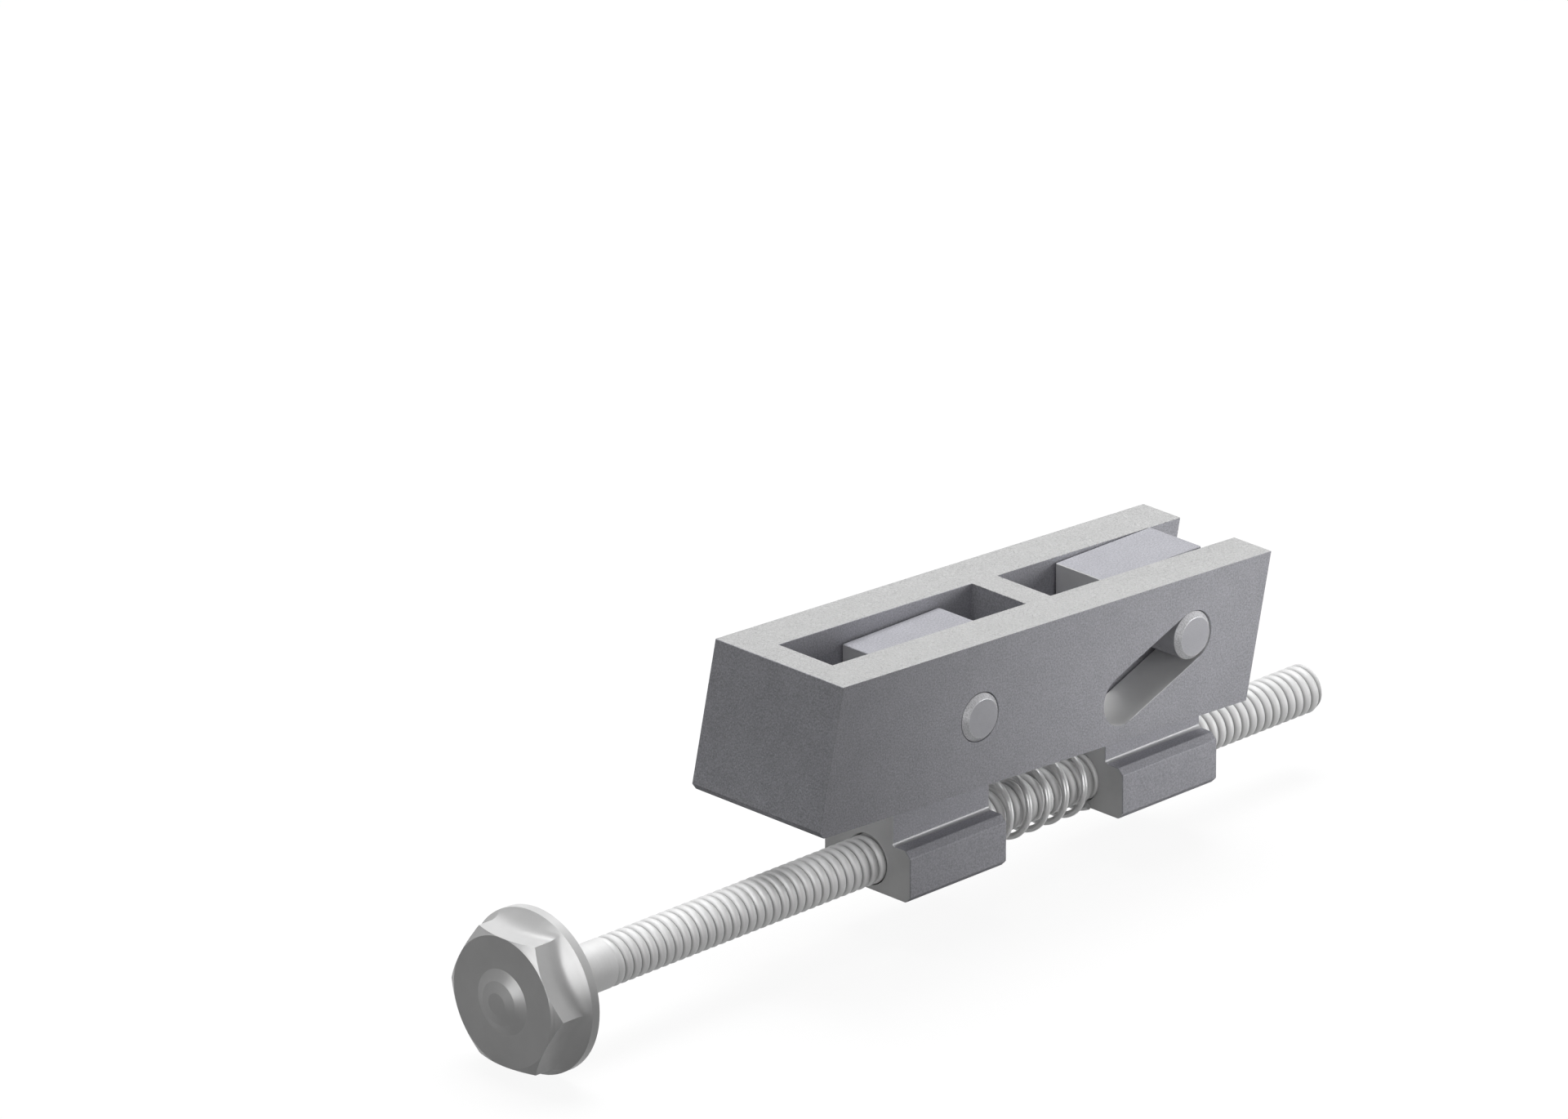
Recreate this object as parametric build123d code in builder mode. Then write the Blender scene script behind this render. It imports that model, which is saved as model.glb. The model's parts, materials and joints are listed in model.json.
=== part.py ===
from build123d import *
import os
from math import atan2, cos, degrees, pi, radians, sin, tan

# Solar end clamp that hides under the module frame. Two T-shaped blocks ride in the top slot of a rail.
# A long flange bolt passes freely through the front block and threads into the rear block.
# Turning it draws the rear block forward against the spring. Its cam pin then climbs the slanted slot,
# so the jaw rocks on the pivot pin and its front lip presses down on the frame.
# Millimetres, +X along the bolt from head to tail, +Z up.
# The origin is on the underside of the front foot, below the pivot pin.
# The model stands at the released end of the travel, with the cam pin at the top of its slot.

# T-shaped blocks
block_length = 12.7
block_pitch = 28.24
block_height = 23.5
foot_width = 11.25
foot_height = 5.15
foot_chamfer = 0.62
stem_width = 6.65
stem_root_radius = 0.35
bolt_height = 2.9
pivot_height = 17.75

# Rocking jaw, measured along and across its own tilted body from the pivot pin
jaw_width = 16.7
jaw_height = 14.36
jaw_below_pivot = 7.05
jaw_front_reach = 18.25
jaw_length = 56.86
jaw_end_slant = 10.0
jaw_lip_chamfer = 0.65
jaw_tilt = 2.75
front_wall = 3.42
front_pocket_length = 25.44
cross_wall = 3.3

# Motion from the released end to the clamped end
slide_travel = 6.8
jaw_rock = 7.5

# Pins and the slot for the cam pin
pin_diameter = 4.76
pin_chamfer = 0.5
pin_proud = 0.42
slot_centres = 10.0

# Flange bolt
bolt_diameter = 4.8
bolt_length = 101.6
bolt_reach = 42.45
bolt_end_chamfer = 0.45
hex_sides = 6
hex_across_flats = 12.7
hex_chamfer_angle = 33.0
head_height = 4.65
flange_diameter = 16.0
flange_rim = 0.97
flange_slope = 49.5
flange_cove = 1.8
flange_cove_sink = 0.05
dome_diameter = 6.4
dome_height = 0.8

# Spring
wire_diameter = 0.63
wire_sides = 8
spring_outer_diameter = 6.56
spring_turns = 6.3
spring_start_angle = 180

# Clearances
stem_side_clearance = 0.18
pivot_clearance = 0.08
slot_clearance = 0.04
pin_seat_clearance = 0.02
bolt_free_clearance = 0.13
thread_clearance = 0.05
spring_end_clearance = 0.05

# The jaw's two working planes: its side profile seen from -Y, and its pockets seen from above
tilt = radians(jaw_tilt)
pivot_point = (0, 0, pivot_height)
jaw_along = (cos(tilt), 0, -sin(tilt))
jaw_up = (sin(tilt), 0, cos(tilt))
jaw_profile_plane = Plane(origin=pivot_point, x_dir=jaw_along, z_dir=(0, -1, 0))
jaw_pocket_plane = Plane(origin=pivot_point, x_dir=jaw_along, z_dir=jaw_up)

jaw_top = jaw_height - jaw_below_pivot
slant_offset = jaw_height * tan(radians(jaw_end_slant))
jaw_rear_reach = jaw_length - jaw_front_reach
pocket_width = stem_width + 2 * stem_side_clearance
front_pocket_start = -jaw_front_reach + front_wall
rear_pocket_start = front_pocket_start + front_pocket_length + cross_wall


def cam_pin_in_jaw(slide):
    """Place of the cam pin in the jaw's profile plane after the rear block has moved forward."""
    angle = radians(jaw_tilt - jaw_rock * slide / slide_travel)
    arm = block_pitch - slide
    return Vector(arm * cos(angle), arm * sin(angle))


# The straight slot follows the cam pin's path. That path bows a little, so the slot is wider by the bow.
path_start = cam_pin_in_jaw(0)
path_middle = cam_pin_in_jaw(slide_travel / 2)
path_end = cam_pin_in_jaw(slide_travel)
slot_direction = (path_start - path_end).normalized()
slot_normal = Vector(-slot_direction.Y, slot_direction.X)
slot_angle = degrees(atan2(slot_direction.Y, slot_direction.X))
path_bow = (path_middle - (path_start + path_end) / 2).dot(slot_normal)
slot_width = pin_diameter + abs(path_bow) + 2 * slot_clearance
slot_middle = path_start + slot_normal * (path_bow / 2) - slot_direction * (slot_centres / 2)

pivot_hole_diameter = pin_diameter + 2 * pivot_clearance
pin_seat_diameter = pin_diameter + 2 * pin_seat_clearance
pin_length = jaw_width + 2 * pin_proud

free_hole_diameter = bolt_diameter + 2 * bolt_free_clearance
threaded_hole_diameter = bolt_diameter + 2 * thread_clearance
front_face_x = -block_length / 2
bearing_x = front_face_x - bolt_reach
head_face_x = bearing_x - head_height
tail_x = bearing_x + bolt_length

spring_start = block_length / 2 + spring_end_clearance + wire_diameter / 2
spring_end = block_pitch - block_length / 2 - spring_end_clearance - wire_diameter / 2
spring_rise = spring_end - spring_start
coil_radius = (spring_outer_diameter - wire_diameter) / 2


def block_section(x):
    """T-shaped section of a block, standing across the bolt at x."""
    with BuildSketch(Plane.YZ.offset(x)) as section:
        Rectangle(foot_width, foot_height, align=(Align.CENTER, Align.MIN))
        chamfer(section.vertices(), foot_chamfer)
        Rectangle(stem_width, block_height, align=(Align.CENTER, Align.MIN))
        stem_roots = section.vertices().sort_by_distance((0, foot_height))[:2]
        fillet(stem_roots, stem_root_radius)
    return section.sketch


def across(x, height):
    """Plane at the mid-width of the clamp, with its normal across the bolt."""
    return Plane(origin=(x, 0, height), x_dir=(1, 0, 0), z_dir=(0, -1, 0))


# Front block: free hole for the bolt, seat for the pivot pin
with BuildPart() as front_block:
    extrude(block_section(0), amount=block_length / 2, both=True)
    with BuildSketch(Plane.YZ):
        with Locations((0, bolt_height)):
            Circle(free_hole_diameter / 2)
    extrude(amount=block_length, both=True, mode=Mode.SUBTRACT)
    with BuildSketch(across(0, pivot_height)):
        Circle(pin_seat_diameter / 2)
    extrude(amount=foot_width, both=True, mode=Mode.SUBTRACT)

# Rear block: threaded hole for the bolt, seat for the cam pin
with BuildPart() as rear_block:
    extrude(block_section(block_pitch), amount=block_length / 2, both=True)
    with BuildSketch(Plane.YZ.offset(block_pitch)):
        with Locations((0, bolt_height)):
            Circle(threaded_hole_diameter / 2)
    extrude(amount=block_length, both=True, mode=Mode.SUBTRACT)
    with BuildSketch(across(block_pitch, pivot_height)):
        Circle(pin_seat_diameter / 2)
    extrude(amount=foot_width, both=True, mode=Mode.SUBTRACT)

# Jaw: slanted ends, a closed front pocket, a rear pocket open at the back, pivot holes and cam slots
with BuildPart() as clamp_jaw:
    with BuildSketch(jaw_profile_plane) as profile:
        with BuildLine():
            Polyline(
                (-jaw_front_reach, jaw_top),
                (jaw_rear_reach, jaw_top),
                (jaw_rear_reach - slant_offset, -jaw_below_pivot),
                (-jaw_front_reach - slant_offset, -jaw_below_pivot),
                close=True,
            )
        make_face()
        lip_corner = profile.vertices().sort_by(Axis.X)[0]
        chamfer(lip_corner, jaw_lip_chamfer)
    extrude(amount=jaw_width / 2, both=True)
    with BuildSketch(jaw_pocket_plane):
        with Locations((front_pocket_start, 0)):
            Rectangle(front_pocket_length, pocket_width, align=(Align.MIN, Align.CENTER))
        with Locations((rear_pocket_start, 0)):
            Rectangle(jaw_length, pocket_width, align=(Align.MIN, Align.CENTER))
    extrude(amount=jaw_height, both=True, mode=Mode.SUBTRACT)
    with BuildSketch(jaw_profile_plane):
        Circle(pivot_hole_diameter / 2)
        with Locations(slot_middle):
            SlotCenterToCenter(slot_centres, slot_width, rotation=slot_angle)
    extrude(amount=jaw_width, both=True, mode=Mode.SUBTRACT)

# Pins: plain dowels with chamfered ends that stand a little proud of the jaw's sides
with BuildPart() as pivot_pin:
    with BuildSketch(across(0, pivot_height)):
        Circle(pin_diameter / 2)
    extrude(amount=pin_length / 2, both=True)
    chamfer(pivot_pin.edges().filter_by(GeomType.CIRCLE), pin_chamfer)

with BuildPart() as cam_pin:
    with BuildSketch(across(block_pitch, pivot_height)):
        Circle(pin_diameter / 2)
    extrude(amount=pin_length / 2, both=True)
    chamfer(cam_pin.edges().filter_by(GeomType.CIRCLE), pin_chamfer)

# Bolt: hexagon with a chamfered, domed face. A cove leads from a little inside the flats into the flange,
# which slopes out to its rim.
# The shank has the thread's outer diameter.
bolt_axis = Axis((0, 0, bolt_height), (1, 0, 0))
bolt_plane = Plane(origin=(0, 0, bolt_height), x_dir=(1, 0, 0), z_dir=(0, -1, 0))
hex_corner_radius = hex_across_flats / 2 / cos(pi / hex_sides)
hex_chamfer_depth = (hex_corner_radius - hex_across_flats / 2) * tan(radians(hex_chamfer_angle))
rim_front_x = bearing_x - flange_rim
slope = radians(flange_slope)
cove_start_radius = hex_across_flats / 2 - flange_cove_sink
cove_end_radius = cove_start_radius + flange_cove * (1 - cos(slope))
cove_end_x = rim_front_x - (flange_diameter / 2 - cove_end_radius) / tan(slope)
cove_start_x = cove_end_x - flange_cove * sin(slope)
dome_radius = (dome_diameter**2 / 4 + dome_height**2) / (2 * dome_height)

with BuildPart() as flange_bolt:
    with BuildSketch(bolt_plane):
        with BuildLine():
            Polyline(
                (head_face_x, 0),
                (head_face_x, hex_across_flats / 2),
                (head_face_x + hex_chamfer_depth, hex_corner_radius),
                (bearing_x, hex_corner_radius),
                (bearing_x, 0),
                close=True,
            )
        make_face()
    revolve(axis=bolt_axis)
    with BuildSketch(Plane(origin=(head_face_x, 0, bolt_height), x_dir=(0, 1, 0), z_dir=(1, 0, 0))):
        RegularPolygon(hex_across_flats / 2, hex_sides, major_radius=False)
    extrude(amount=head_height, mode=Mode.INTERSECT)
    with BuildSketch(bolt_plane):
        with BuildLine():
            Line((cove_start_x, 0), (cove_start_x, cove_start_radius))
            RadiusArc((cove_start_x, cove_start_radius), (cove_end_x, cove_end_radius), -flange_cove)
            Polyline(
                (cove_end_x, cove_end_radius),
                (rim_front_x, flange_diameter / 2),
                (bearing_x, flange_diameter / 2),
                (bearing_x, bolt_diameter / 2),
                (tail_x - bolt_end_chamfer, bolt_diameter / 2),
                (tail_x, bolt_diameter / 2 - bolt_end_chamfer),
                (tail_x, 0),
                (cove_start_x, 0),
            )
        make_face()
    revolve(axis=bolt_axis)
    with BuildSketch(bolt_plane):
        with BuildLine():
            Line((head_face_x, 0), (head_face_x - dome_height, 0))
            RadiusArc(
                (head_face_x - dome_height, 0),
                (head_face_x, dome_diameter / 2),
                dome_radius,
            )
            Line((head_face_x, dome_diameter / 2), (head_face_x, 0))
        make_face()
    revolve(axis=bolt_axis)

# Spring: wire wound round the bolt between the two blocks, starting below it at the front block.
# The wire's round section is drawn with a few flats, so that its many turns stay light.
with BuildPart() as spring:
    with BuildLine() as coil:
        winding = Helix(
            pitch=spring_rise / spring_turns,
            height=spring_rise,
            radius=coil_radius,
            direction=(1, 0, 0),
            mode=Mode.PRIVATE,
        )
        add(Location((spring_start, 0, bolt_height), (spring_start_angle, 0, 0)) * winding)
    with BuildSketch(Plane(origin=coil.line @ 0, z_dir=coil.line % 0)):
        RegularPolygon(wire_diameter / 2, wire_sides)
    sweep(path=coil.line, is_frenet=True)

os.makedirs("parts", exist_ok=True)

front_block.part.label = "front_block"
rear_block.part.label = "rear_block"
clamp_jaw.part.label = "clamp_jaw"
pivot_pin.part.label = "pivot_pin"
cam_pin.part.label = "cam_pin"
flange_bolt.part.label = "flange_bolt"
spring.part.label = "spring"

export_step(front_block.part, "parts/front_block.step")
export_step(rear_block.part, "parts/rear_block.step")
export_step(clamp_jaw.part, "parts/clamp_jaw.step")
export_step(pivot_pin.part, "parts/pivot_pin.step")
export_step(cam_pin.part, "parts/cam_pin.step")
export_step(flange_bolt.part, "parts/flange_bolt.step")
export_step(spring.part, "parts/spring.step")
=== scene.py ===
import json
from math import cos, radians, sin, sqrt, tan

import bmesh
import bpy
from mathutils import Matrix, Vector


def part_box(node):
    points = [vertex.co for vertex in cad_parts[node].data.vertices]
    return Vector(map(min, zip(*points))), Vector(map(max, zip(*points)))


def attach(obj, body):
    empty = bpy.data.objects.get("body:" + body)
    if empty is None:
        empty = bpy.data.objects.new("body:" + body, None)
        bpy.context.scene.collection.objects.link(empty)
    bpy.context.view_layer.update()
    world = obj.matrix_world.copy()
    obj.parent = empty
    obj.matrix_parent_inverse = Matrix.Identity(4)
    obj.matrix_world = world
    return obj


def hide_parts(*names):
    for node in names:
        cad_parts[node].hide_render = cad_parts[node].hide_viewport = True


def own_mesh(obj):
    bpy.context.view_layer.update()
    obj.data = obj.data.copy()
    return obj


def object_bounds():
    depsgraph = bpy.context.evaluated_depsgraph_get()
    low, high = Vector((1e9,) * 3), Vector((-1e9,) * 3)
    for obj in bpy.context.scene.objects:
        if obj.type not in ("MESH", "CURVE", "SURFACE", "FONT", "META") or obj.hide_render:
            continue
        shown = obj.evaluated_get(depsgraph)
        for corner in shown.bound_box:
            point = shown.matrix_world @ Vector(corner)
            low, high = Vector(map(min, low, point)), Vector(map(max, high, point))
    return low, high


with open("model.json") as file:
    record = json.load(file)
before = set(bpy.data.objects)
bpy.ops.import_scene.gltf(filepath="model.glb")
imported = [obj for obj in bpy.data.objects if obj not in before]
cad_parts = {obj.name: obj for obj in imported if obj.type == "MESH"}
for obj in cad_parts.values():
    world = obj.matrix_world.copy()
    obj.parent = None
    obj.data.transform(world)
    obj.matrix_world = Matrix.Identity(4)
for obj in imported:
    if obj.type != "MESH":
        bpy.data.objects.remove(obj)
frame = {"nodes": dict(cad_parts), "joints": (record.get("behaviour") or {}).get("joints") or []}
cad_low, cad_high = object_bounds()

# Metres, as in the frame. Sizes in millimetres are written as a number times MM.
MM = 0.001

# Camera of the photograph, and the pixel at which it shows the aim point
IMAGE_WIDTH = 1920
IMAGE_HEIGHT = 1370
CAMERA_AZIMUTH = radians(-44.858)
CAMERA_ELEVATION = radians(22.111)
CAMERA_LENS = 399.8
CAMERA_SENSOR = 36.0
AIM_POINT = Vector((-7.281 * MM, 0, 2.9 * MM))
AIM_PIXEL = (1053.42, 1055.14)
AIM_DISTANCE = 1615.4 * MM
CAMERA_REACH = 20.0

# Studio
FLOOR_HALF = 4.0
FLOOR_COLOUR = 0.10
FLOOR_GLOW = 0.92
SURROUNDINGS = 0.14
SIDE_LIGHT_SPREAD = radians(60)

# Machined edges
WELD_DISTANCE = 0.0005 * MM
FLAT_ANGLE = radians(0.5)
EDGE_ANGLE = radians(30)
SHARP_ANGLE = radians(18)
JAW_EDGE = 0.04 * MM
BLOCK_EDGE = 0.06 * MM
PIN_EDGE = 0.03 * MM

# Where the finish changes: how far a face may lean, and how far it may lie from a bore, wall or slot
SAWN_LEAN = radians(2)
FACE_LEAN = radians(10)
ROOT_LEAN = radians(5)
CHAMFER_LEAN = (0.2, 0.95)
BORE_REACH = 2.8 * MM
POCKET_HALF = 3.5 * MM
SLOT_RUN = 10.0 * MM
SLOT_SLOPE = radians(21.8)
ROOT_INNER = 3.2 * MM
ROOT_OUTER = 4.2 * MM

# Blasted skin
SKIN_METALLIC = 0.05
SKIN_SPECULAR = 0.0
SKIN_ROUGHNESS = 0.5
SKIN_ROUGHNESS_SWING = 0.05
SPECKLE_RANGE = (0.4, 0.75)
CLOUD_IN_SPECKLE = 0.15
GRAIN_IN_HEIGHT = 0.35

# Bare metal
BARE_SPECULAR = 0.25
BARE_ROUGHNESS_SWING = 0.06
STAIN_RANGE = (0.35, 0.65)
STAIN_SCALE = 320.0
LINE_HEIGHT = 0.01 * MM

# Most of a noise's values lie between these two.
NOISE_LOW = 0.3
NOISE_HIGH = 0.7

# Flange bolt
AROUND = 72
BOLT_RADIUS = 2.4 * MM
SHANK_LENGTH = 7.75 * MM
THREAD_PITCH = 25.4 / 24 * MM
THREAD_DEPTH = 0.34 * MM
CREST_ROUNDNESS = 2.2
# Painted shade in the thread's grooves: the colour falls to this share of itself at the root, and is
# clear above this share of the depth
PAINTED_GROOVE_SHADE = 0.5
PAINTED_GROOVE_SHADE_TOP = 0.7
THREAD_ROWS_PER_PITCH = 10
THREAD_RUN_IN = 0.45 * MM
TAIL_CHAMFER = 0.45 * MM
TAIL_CLOSE = 6.0
THREAD_WELD = 4 * WELD_DISTANCE
HEX_APOTHEM = 6.35 * MM
HEX_CHAMFER = radians(33)
HEAD_HEIGHT = 4.65 * MM
FLANGE_RIM = 0.97 * MM
FLANGE_SLOPE = radians(49.5)
FLANGE_COVE = 1.8 * MM
COVE_RINGS = 5
RIM_ROUND = 0.05 * MM
FLAT_SUPPORT = 0.25 * MM
DOME_RADIUS = 3.2 * MM
DOME_HEIGHT = 0.8 * MM
DOME_BANDS = 3

# Spring
WIRE_RADIUS = 0.315 * MM
SPRING_TURNS = 6.0
SPRING_START = radians(330)
POINTS_PER_TURN = 48
WIRE_SIDES = 16

# Places in the lists of finishes of the jaw, the blocks, the pins and the bolt
JAW_SIDE, JAW_TOP, JAW_SLOT = range(3)
BLOCK_SKIN, BLOCK_CUT, BLOCK_ROOT = range(3)
PIN_PLAIN, PIN_CHAMFER = range(2)
BOLT_THREAD = 1


def joint_named(name):
    """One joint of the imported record."""
    return next(j for j in frame["joints"] if j["name"] == name)


bolt_low, bolt_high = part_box("flange_bolt")
spring_low, spring_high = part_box("spring")
cam_low, cam_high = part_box("cam_pin")
cam_centre = (cam_low + cam_high) / 2
jaw_pivot = Vector(joint_named("jaw_rock")["pos_m"])
bolt_axis = Vector(joint_named("bolt_turn")["pos_m"])
flange_radius = bolt_high.y
dome_tip_x = bolt_low.x
head_face_x = dome_tip_x + DOME_HEIGHT
bearing_x = head_face_x + HEAD_HEIGHT
rim_front_x = bearing_x - FLANGE_RIM
tail_x = bolt_high.x


# Node helpers

def link(tree, *pairs):
    """Joins output sockets to input sockets."""
    for source, target in pairs:
        tree.links.new(source, target)


def node(tree, kind, settings=None, **inputs):
    """Adds a node, with its settings and the values or links of its inputs by name."""
    made = tree.nodes.new(kind)
    for key, value in (settings or {}).items():
        setattr(made, key, value)
    for key, value in inputs.items():
        socket = made.inputs[key.replace("_", " ")]
        if isinstance(value, bpy.types.NodeSocket):
            tree.links.new(value, socket)
        else:
            socket.default_value = value
    return made


def maths(tree, operation, first, second=None, third=None):
    """Adds a Math node and returns its output."""
    made = tree.nodes.new("ShaderNodeMath")
    made.operation = operation
    for socket, value in zip(made.inputs, (first, second, third)):
        if isinstance(value, bpy.types.NodeSocket):
            tree.links.new(value, socket)
        elif value is not None:
            socket.default_value = value
    return made.outputs[0]


def new_group(name, kind, inputs, outputs):
    """Makes a node group with named inputs and outputs, and returns it with its two end nodes."""
    tree = bpy.data.node_groups.new(name, kind)
    for label, socket_type, value in inputs:
        socket = tree.interface.new_socket(label, in_out="INPUT", socket_type=socket_type)
        if value is not None:
            socket.default_value = value
    for label, socket_type in outputs:
        tree.interface.new_socket(label, in_out="OUTPUT", socket_type=socket_type)
    start = tree.nodes.new("NodeGroupInput")
    end = tree.nodes.new("NodeGroupOutput")
    return tree, start, end


# Shared effects

def make_blasted_skin():
    """Fine speckle and shallow orange peel of a blasted and anodised surface."""
    tree, start, end = new_group(
        "blasted_skin",
        "ShaderNodeTree",
        [
            ("Grain Scale", "NodeSocketFloat", 6000.0),
            ("Peel Scale", "NodeSocketFloat", 2600.0),
            ("Cloud Scale", "NodeSocketFloat", 400.0),
            ("Peel", "NodeSocketFloat", 0.5),
        ],
        [("Grain", "NodeSocketFloat"), ("Height", "NodeSocketFloat"), ("Cloud", "NodeSocketFloat")],
    )
    place = tree.nodes.new("ShaderNodeTexCoord").outputs["Object"]
    grain = node(
        tree, "ShaderNodeTexNoise", {"noise_dimensions": "3D"},
        Vector=place, Scale=start.outputs["Grain Scale"], Detail=2.0, Roughness=0.6,
    )
    peel = node(
        tree, "ShaderNodeTexNoise", {"noise_dimensions": "3D"},
        Vector=place, Scale=start.outputs["Peel Scale"], Detail=2.0, Roughness=0.5, Distortion=0.8,
    )
    cloud = node(
        tree, "ShaderNodeTexNoise", {"noise_dimensions": "3D"},
        Vector=place, Scale=start.outputs["Cloud Scale"], Detail=3.0, Roughness=0.5,
    )
    rolls = maths(tree, "MULTIPLY", peel.outputs[0], start.outputs["Peel"])
    height = maths(tree, "MULTIPLY_ADD", grain.outputs[0], GRAIN_IN_HEIGHT, rolls)
    link(
        tree,
        (grain.outputs[0], end.inputs["Grain"]),
        (height, end.inputs["Height"]),
        (cloud.outputs[0], end.inputs["Cloud"]),
    )
    return tree


def make_turned_lines():
    """Fine tool lines round an axis along X, and round the centre of faces that stand across it."""
    tree, start, end = new_group(
        "turned_lines",
        "ShaderNodeTree",
        [
            ("Axis Height", "NodeSocketFloat", 0.0),
            ("Line Scale", "NodeSocketFloat", 9000.0),
        ],
        [("Lines", "NodeSocketFloat"), ("Stains", "NodeSocketFloat"), ("Radius", "NodeSocketFloat")],
    )
    place = tree.nodes.new("ShaderNodeTexCoord").outputs["Object"]
    parts = node(tree, "ShaderNodeSeparateXYZ", Vector=place)
    across = parts.outputs["Y"]
    above = maths(tree, "SUBTRACT", parts.outputs["Z"], start.outputs["Axis Height"])
    squares = maths(tree, "ADD", maths(tree, "POWER", across, 2), maths(tree, "POWER", above, 2))
    radius = maths(tree, "SQRT", squares)
    along = node(tree, "ShaderNodeCombineXYZ", X=parts.outputs["X"], Y=radius)
    lines = node(
        tree, "ShaderNodeTexNoise", {"noise_dimensions": "2D"},
        Vector=along.outputs[0], Scale=start.outputs["Line Scale"], Detail=2.0, Roughness=0.5,
    )
    stains = node(
        tree, "ShaderNodeTexNoise", {"noise_dimensions": "3D"},
        Vector=place, Scale=STAIN_SCALE, Detail=4.0, Roughness=0.6,
    )
    link(
        tree,
        (lines.outputs[0], end.inputs["Lines"]),
        (stains.outputs[0], end.inputs["Stains"]),
        (radius, end.inputs["Radius"]),
    )
    return tree


blasted_skin = make_blasted_skin()
turned_lines = make_turned_lines()


# Finishes

def grey(level):
    """A neutral colour."""
    return level, level, level


def start_material(name, metallic, roughness, specular):
    """A material with a plain Principled shader, returned with its tree and shader."""
    material = bpy.data.materials.new(name)
    material.use_nodes = True
    tree = material.node_tree
    shader = tree.nodes["Principled BSDF"]
    shader.inputs["Metallic"].default_value = metallic
    shader.inputs["Roughness"].default_value = roughness
    shader.inputs["Specular IOR Level"].default_value = specular
    return material, tree, shader


def colour_between(tree, mask, low, high, dark, light):
    """Colour from dark to light while the mask goes from low to high."""
    ramp = tree.nodes.new("ShaderNodeValToRGB")
    ramp.color_ramp.elements[0].position = low
    ramp.color_ramp.elements[1].position = high
    ramp.color_ramp.elements[0].color = (*dark, 1)
    ramp.color_ramp.elements[1].color = (*light, 1)
    tree.links.new(mask, ramp.inputs[0])
    return ramp.outputs[0]


def range_between(tree, mask, low, high, to_low, to_high):
    """Value from to_low to to_high while the mask goes from low to high."""
    made = node(
        tree, "ShaderNodeMapRange",
        Value=mask, From_Min=low, From_Max=high, To_Min=to_low, To_Max=to_high,
    )
    return made.outputs[0]


def roughness_swing(tree, shader, mask, middle, swing):
    """Lets the shader's roughness swing about its middle with a noise."""
    rough = range_between(tree, mask, NOISE_LOW, NOISE_HIGH, middle - swing, middle + swing)
    tree.links.new(rough, shader.inputs["Roughness"])


def bump(tree, shader, height, strength, distance):
    """Feeds a height into the shader's normal."""
    made = node(tree, "ShaderNodeBump", Height=height, Strength=strength, Distance=distance)
    tree.links.new(made.outputs["Normal"], shader.inputs["Normal"])


def blasted_metal(name, dark, light, peel, depth):
    """Blasted and anodised aluminium, with a fine grain and a shallow orange peel."""
    material, tree, shader = start_material(name, SKIN_METALLIC, SKIN_ROUGHNESS, SKIN_SPECULAR)
    skin = tree.nodes.new("ShaderNodeGroup")
    skin.node_tree = blasted_skin
    skin.inputs["Peel"].default_value = peel
    speckle = maths(tree, "MULTIPLY_ADD", skin.outputs["Cloud"], CLOUD_IN_SPECKLE, skin.outputs["Grain"])
    colour = colour_between(tree, speckle, *SPECKLE_RANGE, dark, light)
    tree.links.new(colour, shader.inputs["Base Color"])
    roughness_swing(tree, shader, skin.outputs["Cloud"], SKIN_ROUGHNESS, SKIN_ROUGHNESS_SWING)
    bump(tree, shader, skin.outputs["Height"], 1.0, depth)
    return material


def bare_metal(name, dark, light, metallic, roughness, line_strength, axis_height=0.0, groove=None):
    """Sawn, drawn, turned or rolled metal with faint stains and fine lines round its axis.

    A groove is given as the two radii between which the metal goes from painted shade to clear.
    """
    material, tree, shader = start_material(name, metallic, roughness, BARE_SPECULAR)
    finish = tree.nodes.new("ShaderNodeGroup")
    finish.node_tree = turned_lines
    finish.inputs["Axis Height"].default_value = axis_height
    colour = colour_between(tree, finish.outputs["Stains"], *STAIN_RANGE, dark, light)
    # Painted shade: the colour darkens towards the thread's root, where shade falls.
    if groove:
        painted_shade = range_between(tree, finish.outputs["Radius"], *groove, PAINTED_GROOVE_SHADE, 1.0)
        shaded = node(tree, "ShaderNodeVectorMath", {"operation": "SCALE"}, Vector=colour, Scale=painted_shade)
        colour = shaded.outputs[0]
    tree.links.new(colour, shader.inputs["Base Color"])
    roughness_swing(tree, shader, finish.outputs["Lines"], roughness, BARE_ROUGHNESS_SWING)
    bump(tree, shader, finish.outputs["Lines"], line_strength, LINE_HEIGHT)
    return material


jaw_skin = blasted_metal(
    "jaw_skin", dark=(0.36, 0.36, 0.385), light=(0.54, 0.54, 0.58), peel=0.3, depth=0.045 * MM,
)
# The jaw's top has a deeper peel, and its lighter colour is painted light from above.
jaw_top_skin_painted_light = blasted_metal(
    "jaw_top_skin_painted_light", dark=grey(0.50), light=grey(0.62), peel=1.0, depth=0.25 * MM,
)
block_skin = blasted_metal(
    "block_skin", dark=(0.37, 0.37, 0.40), light=(0.53, 0.53, 0.57), peel=0.5, depth=0.035 * MM,
)
cut_face = bare_metal(
    "cut_face", dark=grey(0.78), light=grey(0.82), metallic=0.05, roughness=0.42, line_strength=0.1,
)
stem_root = bare_metal(
    "stem_root", dark=(0.45, 0.45, 0.46), light=(0.51, 0.51, 0.52),
    metallic=0.25, roughness=0.45, line_strength=0.05,
)
bolt_steel = bare_metal(
    "bolt_steel", dark=grey(0.66), light=grey(0.70),
    metallic=0.08, roughness=0.36, line_strength=0.15, axis_height=bolt_axis.z,
)
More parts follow.
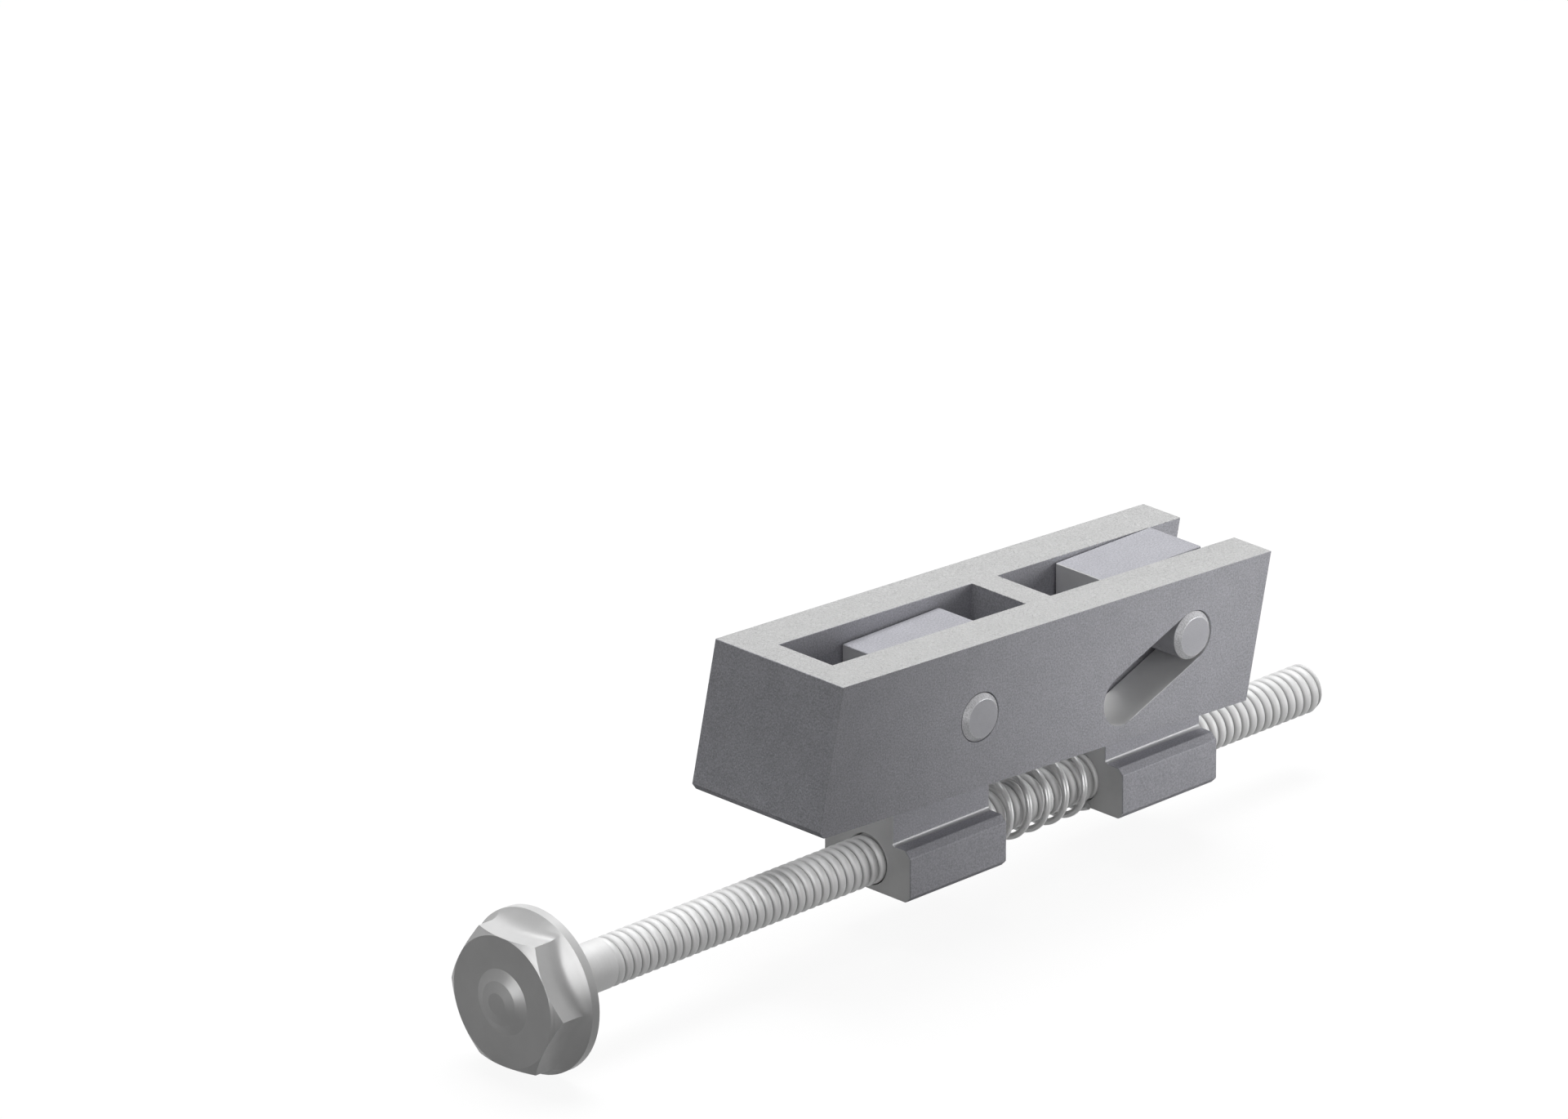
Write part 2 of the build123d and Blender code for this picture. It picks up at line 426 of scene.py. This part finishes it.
# Rolled steel whose grooves carry painted shade.
thread_steel = bare_metal(
    "thread_steel", dark=grey(0.64), light=grey(0.68),
    metallic=0.4, roughness=0.66, line_strength=0.15, axis_height=bolt_axis.z,
    groove=(BOLT_RADIUS - THREAD_DEPTH, BOLT_RADIUS - THREAD_DEPTH * (1 - PAINTED_GROOVE_SHADE_TOP)),
)
pin_steel = bare_metal(
    "pin_steel", dark=(0.46, 0.46, 0.49), light=(0.50, 0.50, 0.53),
    metallic=0.08, roughness=0.32, line_strength=0.15,
)
# The chamfers' lighter colour is a painted highlight.
pin_chamfer_painted_highlight = bare_metal(
    "pin_chamfer_painted_highlight", dark=(0.64, 0.64, 0.66), light=(0.68, 0.68, 0.70),
    metallic=0.2, roughness=0.28, line_strength=0.1,
)
spring_steel = bare_metal(
    "spring_steel", dark=grey(0.66), light=grey(0.70),
    metallic=0.22, roughness=0.32, line_strength=0.1, axis_height=bolt_axis.z,
)


# Pieces

def new_object(name, mesh, materials):
    """Links a mesh as an object with its materials."""
    made = bpy.data.objects.new(name, mesh)
    bpy.context.scene.collection.objects.link(made)
    for material in materials:
        mesh.materials.append(material)
    return made


def baked(piece):
    """Applies a piece's modifiers to its mesh."""
    evaluated = piece.evaluated_get(bpy.context.evaluated_depsgraph_get())
    mesh = bpy.data.meshes.new_from_object(evaluated)
    piece.modifiers.clear()
    old = piece.data
    piece.data = mesh
    bpy.data.meshes.remove(old)
    mesh.name = piece.name
    return piece


def add_piece(piece, body, replaced):
    """Ties a finished piece to its body and hides the CAD node that it stands for."""
    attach(piece, body)
    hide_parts(replaced)


def crease(shape, angle, always=()):
    """Shades a shape smooth, but for edges that turn by more than an angle or are always sharp."""
    for face in shape.faces:
        face.smooth = True
    for edge in shape.edges:
        edge.smooth = edge.calc_face_angle(0) < angle
    for edge in always:
        edge.smooth = False


def crease_piece(piece, angle):
    """Creases a finished piece."""
    shape = bmesh.new()
    shape.from_mesh(piece.data)
    crease(shape, angle)
    shape.to_mesh(piece.data)
    shape.free()


def softened_copy(source, name, materials, edge_width, choose_material):
    """Copy of a CAD node with its triangles joined, its flats whole and a fine chamfer on its edges."""
    shape = bmesh.new()
    shape.from_mesh(frame["nodes"][source].data)
    bmesh.ops.remove_doubles(shape, verts=shape.verts, dist=WELD_DISTANCE)
    bmesh.ops.dissolve_limit(
        shape, angle_limit=FLAT_ANGLE, verts=shape.verts, edges=shape.edges,
        use_dissolve_boundaries=False,
    )
    shape.normal_update()
    for face in shape.faces:
        face.material_index = choose_material(face)
    mesh = bpy.data.meshes.new(name)
    shape.to_mesh(mesh)
    shape.free()
    piece = new_object(name, mesh, materials)
    edge = piece.modifiers.new("edge", "BEVEL")
    edge.width = edge_width
    edge.segments = 1
    edge.limit_method = "ANGLE"
    edge.angle_limit = EDGE_ANGLE
    crease_piece(baked(piece), SHARP_ANGLE)
    return piece


def distance_from_line(point, start, end):
    """Shortest distance of a point from a straight run."""
    run = end - start
    share = (point - start).dot(run) / run.length_squared
    return (start + run * min(max(share, 0), 1) - point).length


def seen_from_side(vector):
    """A vector without its part across the clamp."""
    return Vector((vector.x, 0, vector.z))


def block_face_material(face):
    """Sawn ends and bores are bare, the stem's rounded roots are smooth, the rest keeps its skin."""
    centre = face.calc_center_median()
    if ROOT_INNER < abs(centre.y) < ROOT_OUTER and sin(ROOT_LEAN) < face.normal.z < cos(ROOT_LEAN):
        return BLOCK_ROOT
    sawn = abs(face.normal.x) > cos(SAWN_LEAN)
    in_bolt_bore = Vector((0, centre.y, centre.z - bolt_axis.z)).length < BORE_REACH
    return BLOCK_CUT if sawn or in_bolt_bore else BLOCK_SKIN


def jaw_face_material(face):
    """The jaw's sides and ends are blasted, its top is rougher and carries painted light (a lighter
    colour), and its slots are bare metal.
    """
    centre = face.calc_center_median()
    if face.normal.z > cos(FACE_LEAN) and centre.z > jaw_pivot.z + BORE_REACH:
        return JAW_TOP
    through_wall = abs(face.normal.y) < sin(FACE_LEAN) and abs(centre.y) > POCKET_HALF
    slot_top = seen_from_side(cam_centre)
    slot_end = slot_top - Vector((cos(SLOT_SLOPE), 0, sin(SLOT_SLOPE))) * SLOT_RUN
    from_slot = distance_from_line(seen_from_side(centre), slot_top, slot_end)
    return JAW_SLOT if through_wall and from_slot < BORE_REACH else JAW_SIDE


def pin_face_material(face):
    """A pin's end chamfers carry a painted highlight: their colour is lighter than its side and its
    ends.
    """
    least, most = CHAMFER_LEAN
    return PIN_CHAMFER if least < abs(face.normal.y) < most else PIN_PLAIN


def head_column(angle):
    """Outline of the head and flange at one angle round the axis, as pairs of X and radius."""
    sphere = (DOME_RADIUS**2 + DOME_HEIGHT**2) / (2 * DOME_HEIGHT)
    stations = []
    for band in range(1, DOME_BANDS + 1):
        radius = DOME_RADIUS * band / DOME_BANDS
        rise = sqrt(sphere**2 - radius**2) - (sphere - DOME_HEIGHT)
        stations.append((head_face_x - rise, radius))
    stations.append((head_face_x, HEX_APOTHEM))
    half_side = radians(30)
    hexagon = HEX_APOTHEM / cos(angle % (2 * half_side) - half_side)
    chamfer_x = head_face_x + (hexagon - HEX_APOTHEM) * tan(HEX_CHAMFER)
    stations.append((chamfer_x, hexagon))
    cove_end_radius = hexagon + FLANGE_COVE * (1 - cos(FLANGE_SLOPE))
    cove_end_x = rim_front_x - (flange_radius - cove_end_radius) / tan(FLANGE_SLOPE)
    cove_start_x = cove_end_x - FLANGE_COVE * sin(FLANGE_SLOPE)
    stations.append((cove_start_x - FLAT_SUPPORT, hexagon))
    for ring in range(COVE_RINGS + 1):
        slope = FLANGE_SLOPE * ring / COVE_RINGS
        cove_x = cove_start_x + FLANGE_COVE * sin(slope)
        stations.append((cove_x, hexagon + FLANGE_COVE * (1 - cos(slope))))
    stations.append((rim_front_x, flange_radius))
    stations.append((bearing_x - RIM_ROUND, flange_radius))
    stations.append((bearing_x, flange_radius - RIM_ROUND))
    stations.append((bearing_x, BOLT_RADIUS))
    return stations


def bolt_head_shape():
    """Mesh of the domed hexagon head and its flange, open where the shank joins it."""
    shape = bmesh.new()
    columns = []
    for step in range(AROUND):
        angle = radians(360) * step / AROUND
        columns.append([
            shape.verts.new((x, bolt_axis.y + radius * cos(angle), bolt_axis.z + radius * sin(angle)))
            for x, radius in head_column(angle)
        ])
    centre = shape.verts.new((dome_tip_x, bolt_axis.y, bolt_axis.z))
    for step in range(AROUND):
        left = columns[step]
        right = columns[(step + 1) % AROUND]
        shape.faces.new((centre, right[0], left[0]))
        for row in range(len(left) - 1):
            shape.faces.new((left[row], right[row], right[row + 1], left[row + 1]))
    return shape


def rolled_thread_tree():
    """Node tree of the shank and its rolled thread, a grid wound round the axis at the thread's lead."""
    tree, start, end = new_group(
        "rolled_thread",
        "GeometryNodeTree",
        [
            ("Start X", "NodeSocketFloat", 0.0),
            ("End X", "NodeSocketFloat", 0.1),
            ("Axis Height", "NodeSocketFloat", 0.0),
            ("Radius", "NodeSocketFloat", 0.002),
            ("Pitch", "NodeSocketFloat", 0.001),
            ("Depth", "NodeSocketFloat", 0.0003),
            ("Crest Roundness", "NodeSocketFloat", 2.0),
            ("Shank Length", "NodeSocketFloat", 0.008),
            ("Run In", "NodeSocketFloat", 0.0005),
            ("Chamfer", "NodeSocketFloat", 0.0005),
            ("Tail Close", "NodeSocketFloat", 6.0),
            ("Weld Distance", "NodeSocketFloat", 0.000002),
            ("Rows", "NodeSocketInt", 100),
            ("Row Length", "NodeSocketFloat", 0.1),
            ("Around", "NodeSocketInt", 72),
            ("Material", "NodeSocketMaterial", None),
        ],
        [("Geometry", "NodeSocketGeometry")],
    )
    value = start.outputs
    full_turn = radians(360)
    columns = maths(tree, "ADD", value["Around"], 1)
    grid = node(
        tree, "GeometryNodeMeshGrid",
        Size_X=value["Row Length"], Size_Y=full_turn, Vertices_X=value["Rows"], Vertices_Y=columns,
    )
    flat_place = tree.nodes.new("GeometryNodeInputPosition").outputs[0]
    spot = node(tree, "ShaderNodeSeparateXYZ", Vector=flat_place)
    half_length = maths(tree, "MULTIPLY", value["Row Length"], 0.5)
    travel = maths(tree, "ADD", spot.outputs["X"], half_length)
    angle = maths(tree, "ADD", spot.outputs["Y"], full_turn / 2)
    turn = maths(tree, "DIVIDE", angle, full_turn)
    lead = maths(tree, "MULTIPLY", maths(tree, "SUBTRACT", turn, 1), value["Pitch"])
    free_x = maths(tree, "ADD", maths(tree, "ADD", value["Start X"], travel), lead)
    past_tail = maths(tree, "MAXIMUM", maths(tree, "SUBTRACT", free_x, value["End X"]), 0)
    x = maths(tree, "MINIMUM", maths(tree, "MAXIMUM", free_x, value["Start X"]), value["End X"])

    phase = maths(tree, "FRACT", maths(tree, "DIVIDE", travel, value["Pitch"]))
    off_crest = maths(tree, "MULTIPLY_ADD", phase, 2, -1)
    thread_start = maths(tree, "ADD", value["Start X"], value["Shank Length"])
    full_depth = node(
        tree, "ShaderNodeMapRange", {"interpolation_type": "SMOOTHSTEP"},
        Value=x, From_Min=thread_start, From_Max=maths(tree, "ADD", thread_start, value["Run In"]),
    )
    from_crest = maths(tree, "POWER", maths(tree, "ABSOLUTE", off_crest), value["Crest Roundness"])
    groove = maths(tree, "MULTIPLY", from_crest, value["Depth"])
    cut = maths(tree, "MULTIPLY", groove, full_depth.outputs[0])
    threaded = maths(tree, "SUBTRACT", value["Radius"], cut)
    to_tail = maths(tree, "SUBTRACT", value["End X"], x)
    tail_radius = maths(tree, "SUBTRACT", value["Radius"], value["Chamfer"])
    closing = maths(tree, "MULTIPLY", past_tail, value["Tail Close"])
    cone = maths(tree, "SUBTRACT", maths(tree, "ADD", tail_radius, to_tail), closing)
    radius = maths(tree, "MAXIMUM", maths(tree, "MINIMUM", threaded, cone), 0)

    height = maths(tree, "MULTIPLY_ADD", radius, maths(tree, "SINE", angle), value["Axis Height"])
    across = maths(tree, "MULTIPLY", radius, maths(tree, "COSINE", angle))
    wound = node(tree, "ShaderNodeCombineXYZ", X=x, Y=across, Z=height)
    shaped = node(
        tree, "GeometryNodeSetPosition",
        Geometry=grid.outputs["Mesh"], Position=wound.outputs[0],
    )
    joined = node(
        tree, "GeometryNodeMergeByDistance",
        Geometry=shaped.outputs[0], Distance=value["Weld Distance"],
    )
    real = node(tree, "GeometryNodeRealizeInstances", Geometry=joined.outputs[0])
    coated = node(
        tree, "GeometryNodeSetMaterial",
        Geometry=real.outputs[0], Material=value["Material"],
    )
    link(tree, (coated.outputs[0], end.inputs["Geometry"]))
    return tree


def wound_spring_tree():
    """Node tree of a round wire wound into an open coil along X."""
    tree, start, end = new_group(
        "wound_spring",
        "GeometryNodeTree",
        [
            ("Start", "NodeSocketVector", None),
            ("Start Angle", "NodeSocketFloat", 0.0),
            ("Turns", "NodeSocketFloat", 6.0),
            ("Coil Radius", "NodeSocketFloat", 0.003),
            ("Rise", "NodeSocketFloat", 0.015),
            ("Wire Radius", "NodeSocketFloat", 0.0003),
            ("Points Per Turn", "NodeSocketInt", 48),
            ("Wire Sides", "NodeSocketInt", 16),
            ("Material", "NodeSocketMaterial", None),
        ],
        [("Geometry", "NodeSocketGeometry")],
    )
    value = start.outputs
    line = node(
        tree, "GeometryNodeCurveSpiral",
        Resolution=value["Points Per Turn"], Rotations=value["Turns"], Height=value["Rise"],
        Start_Radius=value["Coil Radius"], End_Radius=value["Coil Radius"], Reverse=False,
    )
    start_turn = node(tree, "ShaderNodeCombineXYZ", Z=value["Start Angle"])
    turned = node(
        tree, "GeometryNodeTransform",
        Geometry=line.outputs[0], Rotation=start_turn.outputs[0],
    )
    laid = node(
        tree, "GeometryNodeTransform",
        Geometry=turned.outputs[0], Rotation=(0, radians(90), 0), Translation=value["Start"],
    )
    section = node(
        tree, "GeometryNodeCurvePrimitiveCircle",
        Resolution=value["Wire Sides"], Radius=value["Wire Radius"],
    )
    wire = node(
        tree, "GeometryNodeCurveToMesh",
        Curve=laid.outputs[0], Profile_Curve=section.outputs[0], Fill_Caps=True,
    )
    real = node(tree, "GeometryNodeRealizeInstances", Geometry=wire.outputs[0])
    coated = node(
        tree, "GeometryNodeSetMaterial",
        Geometry=real.outputs[0], Material=value["Material"],
    )
    link(tree, (coated.outputs[0], end.inputs["Geometry"]))
    return tree


def grown(name, tree, material, values):
    """Object made by a node tree from the given values, baked to a plain mesh."""
    piece = new_object(name, bpy.data.meshes.new(name), [material])
    modifier = piece.modifiers.new("nodes", "NODES")
    modifier.node_group = tree
    sockets = {s.name: s.identifier for s in tree.interface.items_tree if s.in_out == "INPUT"}
    modifier[sockets["Material"]] = material
    for label, value in values.items():
        modifier[sockets[label]] = value
    return baked(piece)


def is_dome_ring(edge):
    """True for an edge that runs round the dome on the head's face."""
    on_dome = all(vertex.co.x < head_face_x + WELD_DISTANCE for vertex in edge.verts)
    first, second = (Vector((0, v.co.y, v.co.z - bolt_axis.z)).length for v in edge.verts)
    return on_dome and first < DOME_RADIUS + WELD_DISTANCE and abs(first - second) < WELD_DISTANCE


def make_bolt():
    """Flange bolt in one mesh: domed hexagon head, coved flange, plain shank and rolled thread."""
    row_height = THREAD_PITCH / THREAD_ROWS_PER_PITCH
    covered = tail_x - bearing_x + THREAD_PITCH + BOLT_RADIUS / TAIL_CLOSE + row_height
    rows = int(covered / row_height) + 2
    thread = grown("thread", rolled_thread_tree(), thread_steel, {
        "Start X": bearing_x,
        "End X": tail_x,
        "Axis Height": bolt_axis.z,
        "Radius": BOLT_RADIUS,
        "Pitch": THREAD_PITCH,
        "Depth": THREAD_DEPTH,
        "Crest Roundness": CREST_ROUNDNESS,
        "Shank Length": SHANK_LENGTH,
        "Run In": THREAD_RUN_IN,
        "Chamfer": TAIL_CHAMFER,
        "Tail Close": TAIL_CLOSE,
        "Weld Distance": THREAD_WELD,
        "Rows": rows,
        "Row Length": (rows - 1) * row_height,
        "Around": AROUND,
    })
    shape = bolt_head_shape()
    head_faces = len(shape.faces)
    shape.from_mesh(thread.data)
    shape.faces.ensure_lookup_table()
    for face in shape.faces[head_faces:]:
        face.material_index = BOLT_THREAD
    bpy.data.objects.remove(thread)
    bmesh.ops.remove_doubles(shape, verts=shape.verts, dist=THREAD_WELD)
    bmesh.ops.dissolve_degenerate(shape, edges=shape.edges, dist=WELD_DISTANCE)
    bmesh.ops.recalc_face_normals(shape, faces=shape.faces)
    shape.normal_update()
    crease(shape, EDGE_ANGLE, [edge for edge in shape.edges if is_dome_ring(edge)])
    mesh = bpy.data.meshes.new("flange_bolt_piece")
    shape.to_mesh(mesh)
    shape.free()
    piece = new_object("flange_bolt_piece", mesh, [bolt_steel, thread_steel])
    add_piece(piece, "bolt", "flange_bolt")


def make_spring():
    """Compression spring, tied as one rigid piece to the front carrier; the real one shortens as the
    rear block slides forward.
    """
    start_x = spring_low.x + WIRE_RADIUS
    rise = spring_high.x - spring_low.x - 2 * WIRE_RADIUS
    piece = grown("spring_piece", wound_spring_tree(), spring_steel, {
        "Start": (start_x, bolt_axis.y, bolt_axis.z),
        "Start Angle": SPRING_START,
        "Turns": SPRING_TURNS,
        "Coil Radius": spring_high.y - WIRE_RADIUS,
        "Rise": rise,
        "Wire Radius": WIRE_RADIUS,
        "Points Per Turn": POINTS_PER_TURN,
        "Wire Sides": WIRE_SIDES,
    })
    crease_piece(piece, EDGE_ANGLE)
    add_piece(piece, "front_carrier", "spring")
    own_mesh(piece)


def make_machined_pieces():
    """Jaw, blocks and pins, with the finish of each of their faces."""
    finishes = [jaw_skin, jaw_top_skin_painted_light, cut_face]
    jaw = softened_copy("clamp_jaw", "clamp_jaw_piece", finishes, JAW_EDGE, jaw_face_material)
    add_piece(jaw, "jaw", "clamp_jaw")
    finishes = [block_skin, cut_face, stem_root]
    for source, body in (("front_block", "front_carrier"), ("rear_block", "rear_carrier")):
        block = softened_copy(source, source + "_piece", finishes, BLOCK_EDGE, block_face_material)
        add_piece(block, body, source)
    finishes = [pin_steel, pin_chamfer_painted_highlight]
    for source, body in (("pivot_pin", "front_carrier"), ("cam_pin", "rear_carrier")):
        pin = softened_copy(source, source + "_piece", finishes, PIN_EDGE, pin_face_material)
        add_piece(pin, body, source)


# Studio

def make_camera():
    """Camera at the photograph's viewing angle, with its framing."""
    right = Vector((cos(CAMERA_AZIMUTH), sin(CAMERA_AZIMUTH), 0))
    back = Vector((
        sin(CAMERA_AZIMUTH) * cos(CAMERA_ELEVATION),
        -cos(CAMERA_AZIMUTH) * cos(CAMERA_ELEVATION),
        sin(CAMERA_ELEVATION),
    ))
    up = back.cross(right)
    pixels_per_slope = CAMERA_LENS / CAMERA_SENSOR * IMAGE_WIDTH
    aside = (AIM_PIXEL[0] - IMAGE_WIDTH / 2) * AIM_DISTANCE / pixels_per_slope
    above = (IMAGE_HEIGHT / 2 - AIM_PIXEL[1]) * AIM_DISTANCE / pixels_per_slope
    place = AIM_POINT + back * AIM_DISTANCE - right * aside - up * above
    camera = bpy.data.objects.new("camera", bpy.data.cameras.new("camera"))
    camera.data.lens = CAMERA_LENS
    camera.data.sensor_width = CAMERA_SENSOR
    camera.data.clip_end = CAMERA_REACH
    turn = Matrix((right, up, back)).transposed().to_4x4()
    camera.matrix_world = Matrix.Translation(place) @ turn
    bpy.context.scene.collection.objects.link(camera)
    bpy.context.scene.camera = camera


def seen_directly(tree):
    """Is 1 for rays from the camera and for rays reflected or passed on by metal and glass."""
    path = tree.nodes.new("ShaderNodeLightPath")
    either = maths(tree, "MAXIMUM", path.outputs["Is Camera Ray"], path.outputs["Is Glossy Ray"])
    return maths(tree, "MAXIMUM", either, path.outputs["Is Transmission Ray"])


def make_floor():
    """Pale floor just below the part, clear from underneath. It keeps the part's shadow."""
    shape = bmesh.new()
    bmesh.ops.create_grid(shape, x_segments=1, y_segments=1, size=FLOOR_HALF)
    mesh = bpy.data.meshes.new("floor")
    shape.to_mesh(mesh)
    shape.free()
    material = bpy.data.materials.new("floor")
    material.use_nodes = True
    tree = material.node_tree
    tree.nodes.clear()
    matt = node(tree, "ShaderNodeBsdfDiffuse", Color=(*grey(FLOOR_COLOUR), 1))
    glow_strength = maths(tree, "MULTIPLY", seen_directly(tree), FLOOR_GLOW)
    glow = node(tree, "ShaderNodeEmission", Strength=glow_strength)
    lit = tree.nodes.new("ShaderNodeAddShader")
    clear = tree.nodes.new("ShaderNodeBsdfTransparent")
    from_below = tree.nodes.new("ShaderNodeNewGeometry").outputs["Backfacing"]
    sides = node(tree, "ShaderNodeMixShader", Fac=from_below)
    out = tree.nodes.new("ShaderNodeOutputMaterial")
    link(
        tree,
        (matt.outputs[0], lit.inputs[0]),
        (glow.outputs[0], lit.inputs[1]),
        (lit.outputs[0], sides.inputs[1]),
        (clear.outputs[0], sides.inputs[2]),
        (sides.outputs[0], out.inputs["Surface"]),
    )
    floor = new_object("floor", mesh, [material])
    floor.location.z = cad_low.z


def make_world(level):
    """Even pale surroundings at a low level, which the camera and the metal see as white."""
    world = bpy.data.worlds.new("studio")
    bpy.context.scene.world = world
    world.use_nodes = True
    tree = world.node_tree
    background = tree.nodes["Background"]
    background.inputs["Color"].default_value = (*grey(1), 1)
    strength = maths(tree, "MULTIPLY_ADD", seen_directly(tree), 1 - level, level)
    tree.links.new(strength, background.inputs["Strength"])


def add_softbox(name, place, aim, size, power):
    """Square soft light that faces the aim point, and isn't seen itself."""
    light = bpy.data.lights.new(name, "AREA")
    light.shape = "SQUARE"
    light.size = size
    light.energy = power
    lamp = bpy.data.objects.new(name, light)
    lamp.location = place
    lamp.rotation_euler = (Vector(aim) - Vector(place)).to_track_quat("-Z", "Y").to_euler()
    lamp.visible_camera = False
    bpy.context.scene.collection.objects.link(lamp)
    return lamp


def make_studio():
    """Floor, surroundings, lights and camera."""
    make_floor()
    make_world(SURROUNDINGS)
    middle = (cad_low + cad_high) / 2
    add_softbox("top_light", place=(0.07, 0.10, 0.46), aim=middle, size=0.34, power=2.3)
    # This light stands close, so that the jaw's side gets paler towards its rear end.
    side_light = add_softbox(
        "rear_side_light", place=(0.080, -0.075, 0.020), aim=(0.032, -0.009, 0.014),
        size=0.07, power=0.0117,
    )
    side_light.data.spread = SIDE_LIGHT_SPREAD
    # This one shows only as a shine on metal.
    head_light = add_softbox(
        "head_light", place=(-0.42, -0.09, 0.11), aim=(head_face_x, 0, bolt_axis.z),
        size=0.45, power=5.2,
    )
    head_light.visible_diffuse = False
    make_camera()


make_machined_pieces()
make_bolt()
make_spring()
make_studio()

bpy.context.scene.view_settings.view_transform = "Standard"
